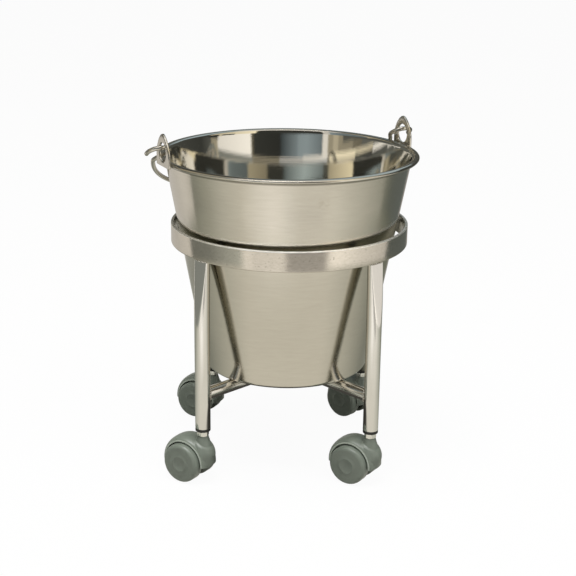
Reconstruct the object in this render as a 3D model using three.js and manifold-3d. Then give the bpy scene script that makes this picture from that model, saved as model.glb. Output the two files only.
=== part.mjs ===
// A wheeled kick bucket: a tapered steel pail with a wire bail stands loose on a tube frame,
// inside a flat steel hoop, and the frame rolls on four hooded twin-wheel casters.
// Millimetres, +Z up, +Y to the back. The origin is on the floor, in the middle of the part.

import * as THREE from 'three';
import { mergeVertices } from 'three/addons/utils/BufferGeometryUtils.js';
import Module from 'manifold-3d';

const wasm = await Module();
wasm.setup();

// Clearances
const seatGap = 0.3;          // between pieces that touch, are pressed or are welded together
const runGap = 0.3;           // radial, round a shaft in its hole
const bailGap = 0.4;          // between the hanging bail and the pail

// Casters
const wheelRadius = 25;
const wheelWidth = 16;
const wheelShell = 3.5;       // wall of the hollow wheel
const wheelEdge = 5;          // rounding of the outer edge of a wheel
const hubRadius = 6.5;
const webThickness = 14.4;    // middle wall of the hood, between the wheels
const wheelSideGap = 0.5;
const axleRadius = 3;
const axleEndGap = 0.6;
const trail = 20.5;           // from the swivel axis back to the axle
const hoodGap = 1.2;          // between wheel and hood
const hoodEdgeShell = 1.7;    // wall of the hood at its side edges
const hoodCrown = 5;          // how far the middle of the hood bulges beyond its side edges
const hoodInset = 8.5;        // of the side edges from the wheel faces
const hoodFrontAngle = -12;   // degrees round the axle, 0 towards the stem
const hoodRearAngle = 186;
const axleBossRadius = 9;
const stemBossRadius = 7;
const stemBossSpread = 2;     // how much wider the boss is where it runs into the hood
const stemBossRise = 3.1;     // of the boss above the top of the hood
const pinRadius = 4;
const pinLength = 28;
const clipGroove = 0.8;       // depth of the groove in the pin
const clipHeight = 1.6;
const clipWidth = 1.4;
const clipRise = 4;           // from the end of the pin up to the clip
const hexAcrossFlats = 13;
const hexHeight = 6.2;
const shankRadius = 5;
const shankLength = 20;

// Frame
const legRadius = 9.5;
const legWall = 1.5;
const insertFlange = 3.5;
const insertLength = 24;
const legLength = 214.8;
const legClearance = 4.021;   // from the tops of the legs in to the wall of the pail
const hoopThickness = 4;
const hoopHeight = 25.4;
const hoopEdge = 1;           // broken edge of the flat bar
const pressLength = 78;       // stretch of leg that is pressed flat towards the hoop
const pressSpread = 0.14;     // how much wider the pressed end is
const barRadius = 8;
const barWall = 1.2;
const barRise = 43.3;         // from the foot of a leg up to the middle of the bars

// Pail
const pailShift = -2.5;       // the loose pail stands a little off the middle of the hoop
const pailTurn = 26;          // degrees, direction of the ears
const pailHeight = 276;
const pailMouthRadius = 154.2;
const pailFloorRadius = 103.5;
const pailSheet = 1;
const pailCorner = 14;
const beadRadius = 4.75;      // of the rolled rim, across
const beadRise = 2.7;         // half of its height, as the roll is pressed flat

// Ears and bail
const earThickness = 3;
const earSide = 8.5;          // web on each side of the hole
const earCap = 10.45;         // web over the hole
const earTopRound = 7;
const earShoulder = 6;        // above the rim, where the ear starts to narrow
const earHoleFoot = 0;        // above the rim
const earSlack = 3.3;         // between the wire and the top of the hole
const pivotHeight = 17.5;     // above the rim
const bailWireRadius = 2.75;
const bailSpare = 15.8;       // by how much the bail is wider than the mouth
const hookRadius = 13.5;
const hookInset = 11;         // from the middle of the ear in to the arm of the bail
const hookTip = 3.5;          // straight end past the bend
const flareReach = 2.4;       // where the arm joins the round bail, for each unit of pivotHeight

// Facets
const roundSides = 16;
const wheelSides = 20;
const pailSides = 44;
const wireSides = 8;
const wireSteps = 92;

const deg = THREE.MathUtils.degToRad;

// Casters, from the sizes above
const wellRadius = wheelRadius + hoodGap;
const hoodEdgeRadius = wellRadius + hoodEdgeShell;
const wheelInner = webThickness / 2 + wheelSideGap;
const wheelOuter = wheelInner + wheelWidth;
const hoodHalfWidth = wheelOuter - hoodInset;
const axleBoreEnd = wheelOuter - wheelShell + axleEndGap;
const stemBossTop = wheelRadius + hoodEdgeRadius + hoodCrown + stemBossRise;
const hexBottom = stemBossTop + seatGap;
const pinBottom = hexBottom - pinLength;
const clipMiddle = pinBottom + clipRise + clipHeight / 2;

// Levels of the frame above the floor
const insertBottom = hexBottom + hexHeight + seatGap;
const legBottom = insertBottom + insertFlange + seatGap;
const legTop = legBottom + legLength;
const hoopFoot = legTop + seatGap;
const hoopTop = hoopFoot + hoopHeight;
const barHeight = legBottom + barRise;
const pailBase = barHeight + barRadius + seatGap;

// Pail, and the legs and hoop that stand round it
const taper = (pailMouthRadius - pailFloorRadius) / pailHeight;
const taperAngle = Math.atan(taper);
const wallAtLegTop = pailFloorRadius + taper * (legTop - pailBase);
const legCircle = wallAtLegTop + legClearance + legRadius;
const legBore = legRadius - legWall;
const hoopRadius = legCircle + hoopThickness / 2;
const beadCentre = pailMouthRadius - pailSheet / Math.cos(taperAngle) + beadRadius;

// Ears, outside the bead
const earHoleRadius = (pivotHeight + bailWireRadius + earSlack - earHoleFoot) / 2;
const earHoleHeight = earHoleFoot + earHoleRadius;
const earHalfWidth = earHoleRadius + earSide;
const earTop = earHoleHeight + earHoleRadius + earCap;
const earInner = beadCentre + beadRadius + seatGap;
const earMiddle = earInner + earThickness / 2;

// The bail hangs back until its wire is bailGap away from the wall of the pail, or from the hoop
const bailRadius = pailMouthRadius + bailSpare;
const flareEnd = flareReach * pivotHeight;
const wallAtPivot = pailMouthRadius + taper * pivotHeight;
const bailReach = Math.cos(taperAngle) * wallAtPivot + bailWireRadius + bailGap;
const dropToWall = taperAngle + Math.acos(bailReach / bailRadius);
const hoopDepth = pailBase + pailHeight + pivotHeight - hoopTop - bailWireRadius - bailGap;
const dropToHoop = Math.asin(Math.min(1, hoopDepth / bailRadius));
const bailDrop = Math.min(dropToWall, dropToHoop);

const steel = { color: 0xc9c6bd, roughness: 0.25, metalness: 1 };
const wireSteel = { color: 0xbdb9ad, roughness: 0.2, metalness: 1 };
const greyPlastic = { color: 0x737a72, roughness: 0.5, metalness: 0 };
const blackPlastic = { color: 0x1c1c1a, roughness: 0.5, metalness: 0 };
const zincSteel = { color: 0xd0d0c8, roughness: 0.3, metalness: 1 };

// One closed indexed body, with its faces pointing out
function closedBody(geometry) {
  const bare = geometry.clone();
  bare.deleteAttribute('normal');
  bare.deleteAttribute('uv');
  const merged = mergeVertices(bare, 1e-4);
  const at = merged.getAttribute('position');
  const index = Array.from(merged.index.array);
  const kept = [];
  let volume = 0;
  for (let i = 0; i < index.length; i += 3) {
    const [a, b, c] = index.slice(i, i + 3);
    if (a === b || b === c || c === a) continue;
    kept.push(a, b, c);
    const [p, q, r] = [a, b, c].map((k) => new THREE.Vector3().fromBufferAttribute(at, k));
    volume += p.dot(q.cross(r));
  }
  if (volume < 0) kept.reverse();
  merged.setIndex(kept);
  return merged;
}

function toSolid(geometry) {
  const body = closedBody(geometry);
  const vertProperties = Float32Array.from(body.getAttribute('position').array);
  const triVerts = Uint32Array.from(body.index.array);
  return new wasm.Manifold(new wasm.Mesh({ numProp: 3, vertProperties, triVerts }));
}

function fromSolid(solid) {
  const mesh = solid.getMesh();
  const geometry = new THREE.BufferGeometry();
  geometry.setAttribute('position', new THREE.BufferAttribute(Float32Array.from(mesh.vertProperties), 3));
  geometry.setIndex(Array.from(mesh.triVerts));
  return geometry;
}

// Turned about Z from [radius, height] points: closed on itself, or from axis to axis
function turned(points, sides) {
  const profile = points.map(([r, z]) => new THREE.Vector2(r, z));
  const onAxis = profile[0].x === 0 && profile[profile.length - 1].x === 0;
  if (!onAxis) profile.push(profile[0].clone());
  const geometry = new THREE.LatheGeometry(profile, sides);
  geometry.rotateX(Math.PI / 2);
  return closedBody(geometry);
}

function rod(radius, low, high, sides = roundSides) {
  return turned([[0, low], [radius, low], [radius, high], [0, high]], sides);
}

// A flat outline in [x, z], given thickness along Y, even about y = 0
function slab(shape, thickness, curveSegments = 12) {
  const geometry = new THREE.ExtrudeGeometry(shape, { depth: thickness, bevelEnabled: false, curveSegments });
  geometry.translate(0, 0, -thickness / 2);
  geometry.rotateX(Math.PI / 2);
  return closedBody(geometry);
}

function piece(name, geometry, look) {
  const mesh = new THREE.Mesh(geometry, new THREE.MeshStandardMaterial(look));
  mesh.name = name;
  return mesh;
}

// Tapered pail with a round bottom corner and an outward rolled bead at the mouth
function pailShell() {
  const lean = Math.PI / 2 - taperAngle;
  const cornerCentre = pailFloorRadius - pailCorner * Math.tan(lean / 2);
  const wallOut = (z) => pailFloorRadius + taper * z;
  const wallIn = (z) => wallOut(z) - pailSheet / Math.cos(taperAngle);
  const beadHeight = pailHeight - beadRise;
  const cornerSteps = 3;
  const beadSteps = 8;
  const beadStart = Math.PI - taperAngle;
  const beadEnd = deg(-135);
  const corner = (radius) => {
    const points = [];
    for (let i = 0; i <= cornerSteps; i += 1) {
      const a = -Math.PI / 2 + (lean * i) / cornerSteps;
      points.push([cornerCentre + radius * Math.cos(a), pailCorner + radius * Math.sin(a)]);
    }
    return points;
  };
  const bead = (across, rise) => {
    const points = [];
    for (let i = 0; i <= beadSteps; i += 1) {
      const a = beadStart + ((beadEnd - beadStart) * i) / beadSteps;
      points.push([beadCentre + across * Math.cos(a), beadHeight + rise * Math.sin(a)]);
    }
    return points;
  };
  const wallTop = beadHeight - beadRise;
  const outside = [[0, 0], ...corner(pailCorner), [wallOut(wallTop), wallTop]];
  const curl = [
    ...bead(beadRadius - pailSheet, beadRise - pailSheet), ...bead(beadRadius, beadRise).reverse(),
  ];
  const inside = [[wallIn(wallTop), wallTop], ...corner(pailCorner - pailSheet).reverse(), [0, pailSheet]];
  return turned([...outside, ...curl, ...inside], pailSides);
}

// Upright plate with a round top and a round hole, its width along Y
function earPlate() {
  const rim = pailHeight;
  const foot = rim - 2 * beadRise;
  const w = earHalfWidth;
  const rise = earTop - earShoulder;
  const shape = new THREE.Shape();
  shape.moveTo(-w, foot);
  shape.lineTo(w, foot);
  shape.lineTo(w, rim + earShoulder);
  shape.bezierCurveTo(w, rim + earShoulder + rise / 2, earTopRound, rim + earTop, 0, rim + earTop);
  shape.bezierCurveTo(-earTopRound, rim + earTop, -w, rim + earShoulder + rise / 2, -w, rim + earShoulder);
  shape.closePath();
  const hole = new THREE.Path();
  hole.absarc(0, rim + earHoleHeight, earHoleRadius, 0, 2 * Math.PI, true);
  shape.holes.push(hole);
  const plate = slab(shape, earThickness, 10);
  plate.rotateZ(Math.PI / 2);
  plate.translate(earMiddle, 0, 0);
  return plate;
}

// Half the bail in its own plane, from hook tip to the middle: [along the ear axis, away from the pivot]
function halfBail() {
  const armAt = earMiddle - hookInset;
  const bendCentre = armAt + hookRadius;
  const points = [[bendCentre + hookRadius, hookRadius + hookTip]];
  const bendSteps = 10;
  for (let i = 0; i <= bendSteps; i += 1) {
    const a = (-Math.PI * i) / bendSteps;
    points.push([bendCentre + hookRadius * Math.cos(a), hookRadius + hookRadius * Math.sin(a)]);
  }
  const joinAngle = Math.asin(flareEnd / bailRadius);
  const joinAt = new THREE.Vector2(bailRadius * Math.cos(joinAngle), flareEnd);
  const pull = (flareEnd - hookRadius) / 4;
  const flare = new THREE.CubicBezierCurve(
    new THREE.Vector2(armAt, hookRadius),
    new THREE.Vector2(armAt, hookRadius + pull),
    new THREE.Vector2(joinAt.x + pull * Math.sin(joinAngle), joinAt.y - pull * Math.cos(joinAngle)),
    joinAt,
  );
  const flareSteps = 6;
  for (let i = 1; i < flareSteps; i += 1) {
    const p = flare.getPoint(i / flareSteps);
    points.push([p.x, p.y]);
  }
  const arcSteps = 16;
  for (let i = 0; i <= arcSteps; i += 1) {
    const a = joinAngle + ((Math.PI / 2 - joinAngle) * i) / arcSteps;
    points.push([bailRadius * Math.cos(a), bailRadius * Math.sin(a)]);
  }
  return points;
}

function bailWire() {
  const half = halfBail();
  const other = half.slice(0, -1).reverse().map(([x, s]) => [-x, s]);
  const pivot = pailHeight + pivotHeight;
  const path = [...half, ...other].map(([x, s]) => (
    new THREE.Vector3(x, s * Math.cos(bailDrop), pivot - s * Math.sin(bailDrop))
  ));
  const extrudePath = new THREE.CatmullRomCurve3(path, false, 'centripetal');
  const section = new THREE.Shape();
  section.absarc(0, 0, bailWireRadius, 0, 2 * Math.PI);
  const settings = { steps: wireSteps, bevelEnabled: false, curveSegments: wireSides / 2, extrudePath };
  return closedBody(new THREE.ExtrudeGeometry(section, settings));
}

function hoopBand() {
  const inner = hoopRadius - hoopThickness;
  const foot = hoopFoot;
  const e = hoopEdge;
  return turned([
    [inner + e, foot], [hoopRadius - e, foot], [hoopRadius, foot + e], [hoopRadius, hoopTop - e],
    [hoopRadius - e, hoopTop], [inner + e, hoopTop], [inner, hoopTop - e], [inner, foot + e],
  ], pailSides);
}

// Round tube, pressed flat on its outer (+X) side towards the top, so that it ends flush with the hoop
function legTube() {
  const press = legRadius - hoopThickness / 2;
  const pressFrom = legTop - pressLength;
  const pressSteps = 4;
  const stations = [[legBottom, 0]];
  for (let i = 0; i <= pressSteps; i += 1) {
    stations.push([pressFrom + (pressLength * i) / pressSteps, i / pressSteps]);
  }
  const positions = [];
  const addRing = (radius, inset, [z, t]) => {
    const flat = legRadius - press * t - inset;
    for (let k = 0; k < roundSides; k += 1) {
      const a = (2 * Math.PI * k) / roundSides;
      const y = radius * Math.sin(a) * (1 + pressSpread * t);
      positions.push(Math.min(radius * Math.cos(a), flat), y, z);
    }
  };
  stations.forEach((station) => addRing(legRadius, 0, station));
  [...stations].reverse().forEach((station) => addRing(legBore, legWall, station));
  const rings = 2 * stations.length;
  const index = [];
  for (let i = 0; i < rings; i += 1) {
    const j = (i + 1) % rings;
    for (let k = 0; k < roundSides; k += 1) {
      const n = (k + 1) % roundSides;
      const [a, b, c, d] = [i * roundSides + k, i * roundSides + n, j * roundSides + n, j * roundSides + k];
      index.push(a, b, c, a, c, d);
    }
  }
  const geometry = new THREE.BufferGeometry();
  geometry.setAttribute('position', new THREE.Float32BufferAttribute(positions, 3));
  geometry.setIndex(index);
  return closedBody(geometry);
}

function alongX(geometry) {
  return geometry.rotateY(Math.PI / 2);
}

// Level tube along X between two places, its ends hollowed to fit the uprights or the other bar
function barTube(from, to, cutters) {
  const tube = toSolid(alongX(rod(barRadius, from, to)).translate(0, 0, barHeight));
  const bore = toSolid(alongX(rod(barRadius - barWall, from - 1, to + 1)).translate(0, 0, barHeight));
  const shaped = cutters.reduce((solid, cutter) => solid.subtract(toSolid(cutter)), tube.subtract(bore));
  return fromSolid(shaped);
}

function legRoom(x) {
  return rod(legRadius + seatGap, legBottom, hoopTop, 24).translate(x, 0, 0);
}

function longBar() {
  return barTube(-legCircle, legCircle, [legRoom(-legCircle), legRoom(legCircle)]);
}

function halfBar() {
  const across = rod(barRadius + seatGap, -legCircle, legCircle, 24);
  across.rotateX(Math.PI / 2);
  across.translate(0, 0, barHeight);
  return barTube(0, legCircle, [legRoom(legCircle), across]);
}

function legInsert() {
  const top = legBottom + insertLength;
  const hole = shankRadius + runGap;
  const spigot = legBore - seatGap;
  const flangeTop = insertBottom + insertFlange;
  return turned([
    [hole, insertBottom], [legRadius, insertBottom], [legRadius, flangeTop],
    [spigot, flangeTop], [spigot, top], [hole, top],
  ], roundSides);
}

function casterStem() {
  const groove = pinRadius - clipGroove;
  const clipHalf = clipHeight / 2 + seatGap;
  const top = hexBottom + hexHeight + shankLength;
  const turnedPart = toSolid(turned([
    [0, pinBottom], [pinRadius, pinBottom],
    [pinRadius, clipMiddle - clipHalf], [groove, clipMiddle - clipHalf],
    [groove, clipMiddle + clipHalf], [pinRadius, clipMiddle + clipHalf],
    [pinRadius, hexBottom + hexHeight / 2], [shankRadius, hexBottom + hexHeight / 2],
    [shankRadius, top], [0, top],
  ], 12));
  const hexCorner = hexAcrossFlats / Math.sqrt(3);
  return fromSolid(turnedPart.add(toSolid(rod(hexCorner, hexBottom, hexBottom + hexHeight, 6))));
}

function stemClip() {
  const inner = pinRadius - clipGroove + runGap;
  const low = clipMiddle - clipHeight / 2;
  const outer = inner + clipWidth;
  return turned([
    [inner, low], [outer, low], [outer, low + clipHeight], [inner, low + clipHeight],
  ], 12);
}

// Hood over both wheels, with a middle wall for the axle and an upright boss for the stem.
// The swivel axis is at x = 0 and the axle at x = -trail.
function casterHood() {
  const disc = (radius) => {
    const shape = new THREE.Shape();
    shape.absarc(-trail, wheelRadius, radius, 0, 2 * Math.PI, false);
    return shape;
  };
  const reach = 2 * hoodEdgeRadius;
  const sector = new THREE.Shape();
  const front = deg(hoodFrontAngle);
  sector.moveTo(-trail, wheelRadius);
  sector.lineTo(reach * Math.cos(front) - trail, reach * Math.sin(front) + wheelRadius);
  sector.absarc(-trail, wheelRadius, reach, front, deg(hoodRearAngle), false);
  sector.closePath();
  const crownSteps = 8;
  const dome = [[0, -hoodHalfWidth]];
  for (let i = 0; i <= crownSteps; i += 1) {
    const across = -Math.cos((Math.PI * i) / crownSteps);
    const bulge = hoodCrown * Math.sqrt(1 - Math.abs(across) ** 2.5);
    dome.push([hoodEdgeRadius + bulge, across * hoodHalfWidth]);
  }
  dome.push([0, hoodHalfWidth]);

  const bossFoot = stemBossRadius + stemBossSpread;
  const bossBend = wheelRadius + (stemBossTop - wheelRadius) / 2;
  const stemBoss = toSolid(turned([
    [0, wheelRadius], [bossFoot, wheelRadius], [bossFoot, bossBend],
    [stemBossRadius, stemBossTop], [0, stemBossTop],
  ], roundSides));
  const boreFoot = pinBottom - seatGap;
  const bore = pinRadius + runGap;
  const clipRoom = pinRadius - clipGroove + runGap + clipWidth + seatGap;
  const clipHalf = clipHeight / 2 + seatGap;
  const stemHole = toSolid(turned([
    [0, boreFoot], [bore, boreFoot],
    [bore, clipMiddle - clipHalf], [clipRoom, clipMiddle - clipHalf],
    [clipRoom, clipMiddle + clipHalf], [bore, clipMiddle + clipHalf],
    [bore, stemBossTop + 1], [0, stemBossTop + 1],
  ], 12));
  const wellDepth = wheelWidth + 2 * wheelSideGap + stemBossRadius;
  const wells = [-1, 1].map((side) => (
    toSolid(slab(disc(wellRadius), wellDepth, 12).translate(0, (side * (webThickness + wellDepth)) / 2, 0))
  ));
  const body = toSolid(alongAxle(turned(dome, 24)))
    .intersect(toSolid(slab(sector, reach, 2)))
    .add(stemBoss)
    .subtract(wells[0])
    .subtract(wells[1])
    .add(toSolid(slab(disc(axleBossRadius), webThickness, 7)))
    .subtract(stemHole)
    .subtract(toSolid(slab(disc(axleRadius + runGap), webThickness + 1, 6)));
  return fromSolid(body);
}

function alongAxle(geometry) {
  return geometry.rotateX(-Math.PI / 2).translate(-trail, 0, wheelRadius);
}

function casterAxle() {
  const reach = axleBoreEnd - axleEndGap;
  return alongAxle(rod(axleRadius, -reach, reach, 12));
}

// Hollow wheel with a blind hub, closed on its outer face. A flat of its rim stands on the floor.
function casterWheel(side) {
  const tread = wheelRadius / Math.cos(Math.PI / wheelSides);
  const faceIn = wheelOuter - wheelShell;
  const rimIn = tread - wheelShell;
  const boreRadius = axleRadius + runGap;
  const wheel = turned([
    [0, wheelOuter], [tread - wheelEdge, wheelOuter],
    [tread - wheelEdge * (1 - Math.SQRT1_2), wheelOuter - wheelEdge * (1 - Math.SQRT1_2)],
    [tread, wheelOuter - wheelEdge], [tread, wheelInner], [rimIn, wheelInner], [rimIn, faceIn],
    [hubRadius, faceIn], [hubRadius, wheelInner], [boreRadius, wheelInner],
    [boreRadius, axleBoreEnd], [0, axleBoreEnd],
  ], wheelSides);
  wheel.rotateZ(Math.PI / wheelSides);
  if (side < 0) wheel.rotateX(Math.PI);
  return alongAxle(wheel);
}

function pailGroup() {
  const group = new THREE.Group();
  group.position.set(pailShift, 0, pailBase);
  group.rotation.z = deg(pailTurn);
  const leftEar = piece('ear_left', earPlate(), steel);
  leftEar.rotation.z = Math.PI;
  group.add(
    piece('pail_shell', pailShell(), steel),
    piece('ear_right', earPlate(), steel),
    leftEar,
    piece('bail_handle', bailWire(), wireSteel),
  );
  return group;
}

function casterGroup(corner, heading) {
  const group = new THREE.Group();
  group.rotation.z = deg(heading);
  group.add(
    piece(`caster_hood_${corner}`, casterHood(), greyPlastic),
    piece(`stem_clip_${corner}`, stemClip(), zincSteel),
    piece(`caster_axle_${corner}`, casterAxle(), zincSteel),
    piece(`wheel_near_${corner}`, casterWheel(-1), greyPlastic),
    piece(`wheel_far_${corner}`, casterWheel(1), greyPlastic),
  );
  return group;
}

// One leg with its insert and stem, standing at the hoop in the given direction
function legGroup(corner, { direction, heading }) {
  const group = new THREE.Group();
  group.position.set(legCircle * Math.cos(deg(direction)), legCircle * Math.sin(deg(direction)), 0);
  const upright = piece(`leg_${corner}`, legTube(), steel);
  upright.rotation.z = deg(direction);
  group.add(
    upright,
    piece(`leg_insert_${corner}`, legInsert(), blackPlastic),
    piece(`caster_stem_${corner}`, casterStem(), zincSteel),
    casterGroup(corner, heading),
  );
  return group;
}

function turnedPiece(mesh, direction) {
  mesh.rotation.z = deg(direction);
  return mesh;
}

// Where each leg stands, and how its caster was left after the last push, both in degrees
const corners = {
  rear_right: { direction: 45, heading: -44 },
  rear_left: { direction: 135, heading: -26 },
  front_left: { direction: 225, heading: -32 },
  front_right: { direction: 315, heading: -32 },
};

const assembly = new THREE.Group();
assembly.add(
  pailGroup(),
  piece('support_hoop', hoopBand(), steel),
  turnedPiece(piece('crossbar_long', longBar(), steel), corners.rear_right.direction),
  turnedPiece(piece('crossbar_half_rear', halfBar(), steel), corners.rear_left.direction),
  turnedPiece(piece('crossbar_half_front', halfBar(), steel), corners.front_right.direction),
  ...Object.entries(corners).map(([corner, place]) => legGroup(corner, place)),
);

// The origin is the middle of the whole part's box, on the floor
const box = new THREE.Box3().setFromObject(assembly, true);
const middle = box.getCenter(new THREE.Vector3());
assembly.position.set(-middle.x, -middle.y, -box.min.z);

const kickBucket = new THREE.Group();
kickBucket.add(assembly);
kickBucket.updateMatrixWorld(true);

export default kickBucket;
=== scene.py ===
import math

import bmesh
import bpy
from mathutils import Matrix, Vector


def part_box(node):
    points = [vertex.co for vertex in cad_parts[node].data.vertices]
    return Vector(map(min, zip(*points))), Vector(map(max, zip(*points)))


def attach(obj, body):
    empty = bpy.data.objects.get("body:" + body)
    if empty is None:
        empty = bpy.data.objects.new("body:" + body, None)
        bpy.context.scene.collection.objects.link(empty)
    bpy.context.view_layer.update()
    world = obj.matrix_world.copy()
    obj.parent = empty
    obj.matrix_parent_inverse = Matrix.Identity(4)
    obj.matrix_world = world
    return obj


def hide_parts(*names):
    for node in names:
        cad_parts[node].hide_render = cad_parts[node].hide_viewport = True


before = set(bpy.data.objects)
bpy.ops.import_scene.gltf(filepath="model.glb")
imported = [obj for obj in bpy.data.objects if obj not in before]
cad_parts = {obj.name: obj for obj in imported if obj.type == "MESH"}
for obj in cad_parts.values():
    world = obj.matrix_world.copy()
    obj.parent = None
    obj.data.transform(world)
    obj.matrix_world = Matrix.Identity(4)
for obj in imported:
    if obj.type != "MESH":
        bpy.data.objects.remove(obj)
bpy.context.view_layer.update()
scene = bpy.context.scene
mm = 0.001
print("frame loaded:", len(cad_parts), "nodes")


def middleOf(node):
    low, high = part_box(node)
    return (low + high) / 2


pailAxis = middleOf("pail_shell")
frameAxis = middleOf("support_hoop")
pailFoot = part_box("pail_shell")[0].z


# The camera, fitted to the photograph's view
cameraSet = {"place": (6.70, -1555.6, 716.1), "down": 17.64, "turn": -0.02, "tilt": 0.73,
             "lens": 79.45, "sensor": 36.0}


def makeCamera():
    down, turn, tilt = (math.radians(cameraSet[k]) for k in ("down", "turn", "tilt"))
    ahead = Vector((math.sin(turn) * math.cos(down), math.cos(turn) * math.cos(down), -math.sin(down)))
    level = Vector((math.cos(turn), -math.sin(turn), 0))
    upward = level.cross(ahead)
    right = math.cos(tilt) * level + math.sin(tilt) * upward
    over = math.cos(tilt) * upward - math.sin(tilt) * level
    data = bpy.data.cameras.new("photoCamera")
    data.lens = cameraSet["lens"]
    data.sensor_width = cameraSet["sensor"]
    data.sensor_fit = "HORIZONTAL"
    camera = bpy.data.objects.new("photoCamera", data)
    placing = Matrix((right, over, -ahead)).transposed().to_4x4()
    placing.translation = Vector(cameraSet["place"]) * mm
    camera.matrix_world = placing
    scene.collection.objects.link(camera)
    scene.camera = camera


makeCamera()
print("camera set")


# A node socket that takes part in Python sums; node() adds any other node
class Link:
    def __init__(self, tree, socket=None):
        self.tree = tree
        self.socket = socket

    def plug(self, value, socket):
        if isinstance(value, Link):
            self.tree.links.new(value.socket, socket)
        else:
            socket.default_value = value

    def node(self, kind, settings=None, sockets=None, output=0):
        made = self.tree.nodes.new(kind)
        for name, value in (settings or {}).items():
            if name == "stops":
                setStops(made.color_ramp, value)
            else:
                setattr(made, name, value)
        for name, value in (sockets or {}).items():
            self.plug(value, made.inputs[name])
        return Link(self.tree, made.outputs[output])

    def sum(self, operation, first, second=0.0):
        return self.node("ShaderNodeMath", {"operation": operation}, {0: first, 1: second})

    def mix(self, factor, low, high):
        return self.node("ShaderNodeMix", {"data_type": "RGBA"}, {0: factor, 6: low, 7: high}, 2)

    def __add__(self, other):
        return self.sum("ADD", self, other)

    def __sub__(self, other):
        return self.sum("SUBTRACT", self, other)

    def __rsub__(self, other):
        return self.sum("SUBTRACT", other, self)

    def __mul__(self, other):
        return self.sum("MULTIPLY", self, other)

    def __truediv__(self, other):
        return self.sum("DIVIDE", self, other)

    __radd__ = __add__
    __rmul__ = __mul__


def setStops(ramp, stops):
    while len(ramp.elements) < len(stops):
        ramp.elements.new(1.0)
    for element, (place, colour) in zip(ramp.elements, stops):
        element.position = place
        element.color = (*colour, 1.0)


def newMaterial(name, constants, build):
    material = bpy.data.materials.new(name)
    material.use_nodes = True
    tree = material.node_tree
    shader = tree.nodes["Principled BSDF"]
    for socket, value in constants.items():
        shader.inputs[socket].default_value = value
    for socket, link in build(Link(tree)).items():
        tree.links.new(link.socket, shader.inputs[socket])
    return material


# Finishes
# The crease colour in spunSet is painted shade under the rim bead
spunSet = {"light": (0.83, 0.795, 0.715), "dark": (0.62, 0.585, 0.52), "rough": 0.15, "roughSpread": 0.06,
           "rings": 420.0, "ringDepth": 0.03, "wave": 60.0, "waveDepth": 0.0, "cloud": 14.0, "grain": 110.0,
           "stain": (0.44, 0.40, 0.30), "stainAt": (0.043, -0.134, 0.370), "stainSize": 0.013,
           "crease": (0.30, 0.285, 0.245), "creaseAt": (0.2668, 0.2684, 0.2716, 0.2728)}
innerSet = {"light": (0.83, 0.81, 0.75), "dark": (0.76, 0.74, 0.68), "rough": 0.045, "roughSpread": 0.03,
            "rings": 300.0, "ringDepth": 0.012, "wave": 140.0, "waveDepth": 0.5, "cloud": 9.0, "grain": 300.0}


def spunLook(look):
    def build(start):
        at = start.node("ShaderNodeTexCoord", output="Object")
        height = start.node("ShaderNodeSeparateXYZ", sockets={0: at}, output=2)
        cloud = start.node("ShaderNodeTexNoise", {}, {"Vector": at, "Scale": look["cloud"], "Detail": 5.0})
        rings = start.node("ShaderNodeTexNoise", {"noise_dimensions": "1D"},
                           {"W": height * look["rings"], "Detail": 4.0, "Roughness": 0.65})
        wave = start.node("ShaderNodeTexNoise", {}, {"Vector": at, "Scale": look["wave"], "Detail": 2.0})
        lying = start.node("ShaderNodeMapping", {}, {"Vector": at, "Scale": (0.4, 0.4, 4.0)})
        grain = start.node("ShaderNodeTexNoise", {}, {"Vector": lying, "Scale": look["grain"], "Detail": 4.0})
        rough = look["rough"] + (cloud - 0.5) * look["roughSpread"] + (rings - 0.5) * look["roughSpread"]
        bump = start.node("ShaderNodeBump", {}, {"Strength": look["ringDepth"], "Distance": 0.002,
                                                 "Height": rings * 0.7 + wave * look["waveDepth"]})
        colour = start.mix(cloud * 0.5 + grain * 0.36 + rings * 0.14, (*look["dark"], 1), (*look["light"], 1))
        if "stain" in look:
            away = start.node("ShaderNodeVectorMath", {"operation": "DISTANCE"}, {0: at, 1: look["stainAt"]}, "Value")
            near = start.node("ShaderNodeMapRange", {}, {"Value": away, "From Max": look["stainSize"], "To Min": 1.0,
                                                         "To Max": 0.0})
            patchy = start.node("ShaderNodeTexNoise", {}, {"Vector": at, "Scale": 240.0, "Detail": 4.0})
            spots = start.node("ShaderNodeMapRange", {}, {"Value": patchy, "From Min": 0.42, "From Max": 0.62})
            colour = start.mix(near * spots * 0.7, colour, (*look["stain"], 1))
        # Painted shade: a band at the foot of the rim bead is mixed darker towards the crease colour
        if "crease" in look:
            begin, full, fade, end = (pailFoot + h for h in look["creaseAt"])
            over = start.node("ShaderNodeMapRange", {}, {"Value": height, "From Min": begin, "From Max": full})
            under = start.node("ShaderNodeMapRange", {}, {"Value": height, "From Min": end, "From Max": fade})
            colour = start.mix(over * under, colour, (*look["crease"], 1))
        return {"Base Color": colour, "Roughness": rough, "Normal": bump}
    return build


spunSteel = newMaterial("spunSteel", {"Metallic": 1.0, "Anisotropic": 0.5, "Anisotropic Rotation": 0.25},
                        spunLook(spunSet))
innerSteel = newMaterial("innerSteel", {"Metallic": 1.0},
                         spunLook(innerSet))

# This set also holds a painted highlight for the hoop's top and painted shade for its inner face
barSet = {"light": (0.80, 0.755, 0.685), "dark": (0.56, 0.525, 0.455), "rough": 0.13, "grain": 1500.0,
          "back": (0.31, 0.31, 0.26), "backAt": (0.1450, 0.1457), "pit": (0.16, 0.15, 0.12),
          "edge": (0.97, 0.95, 0.90), "highlightAt": (0.3104, 0.3110), "highlightRough": 0.3}
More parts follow.
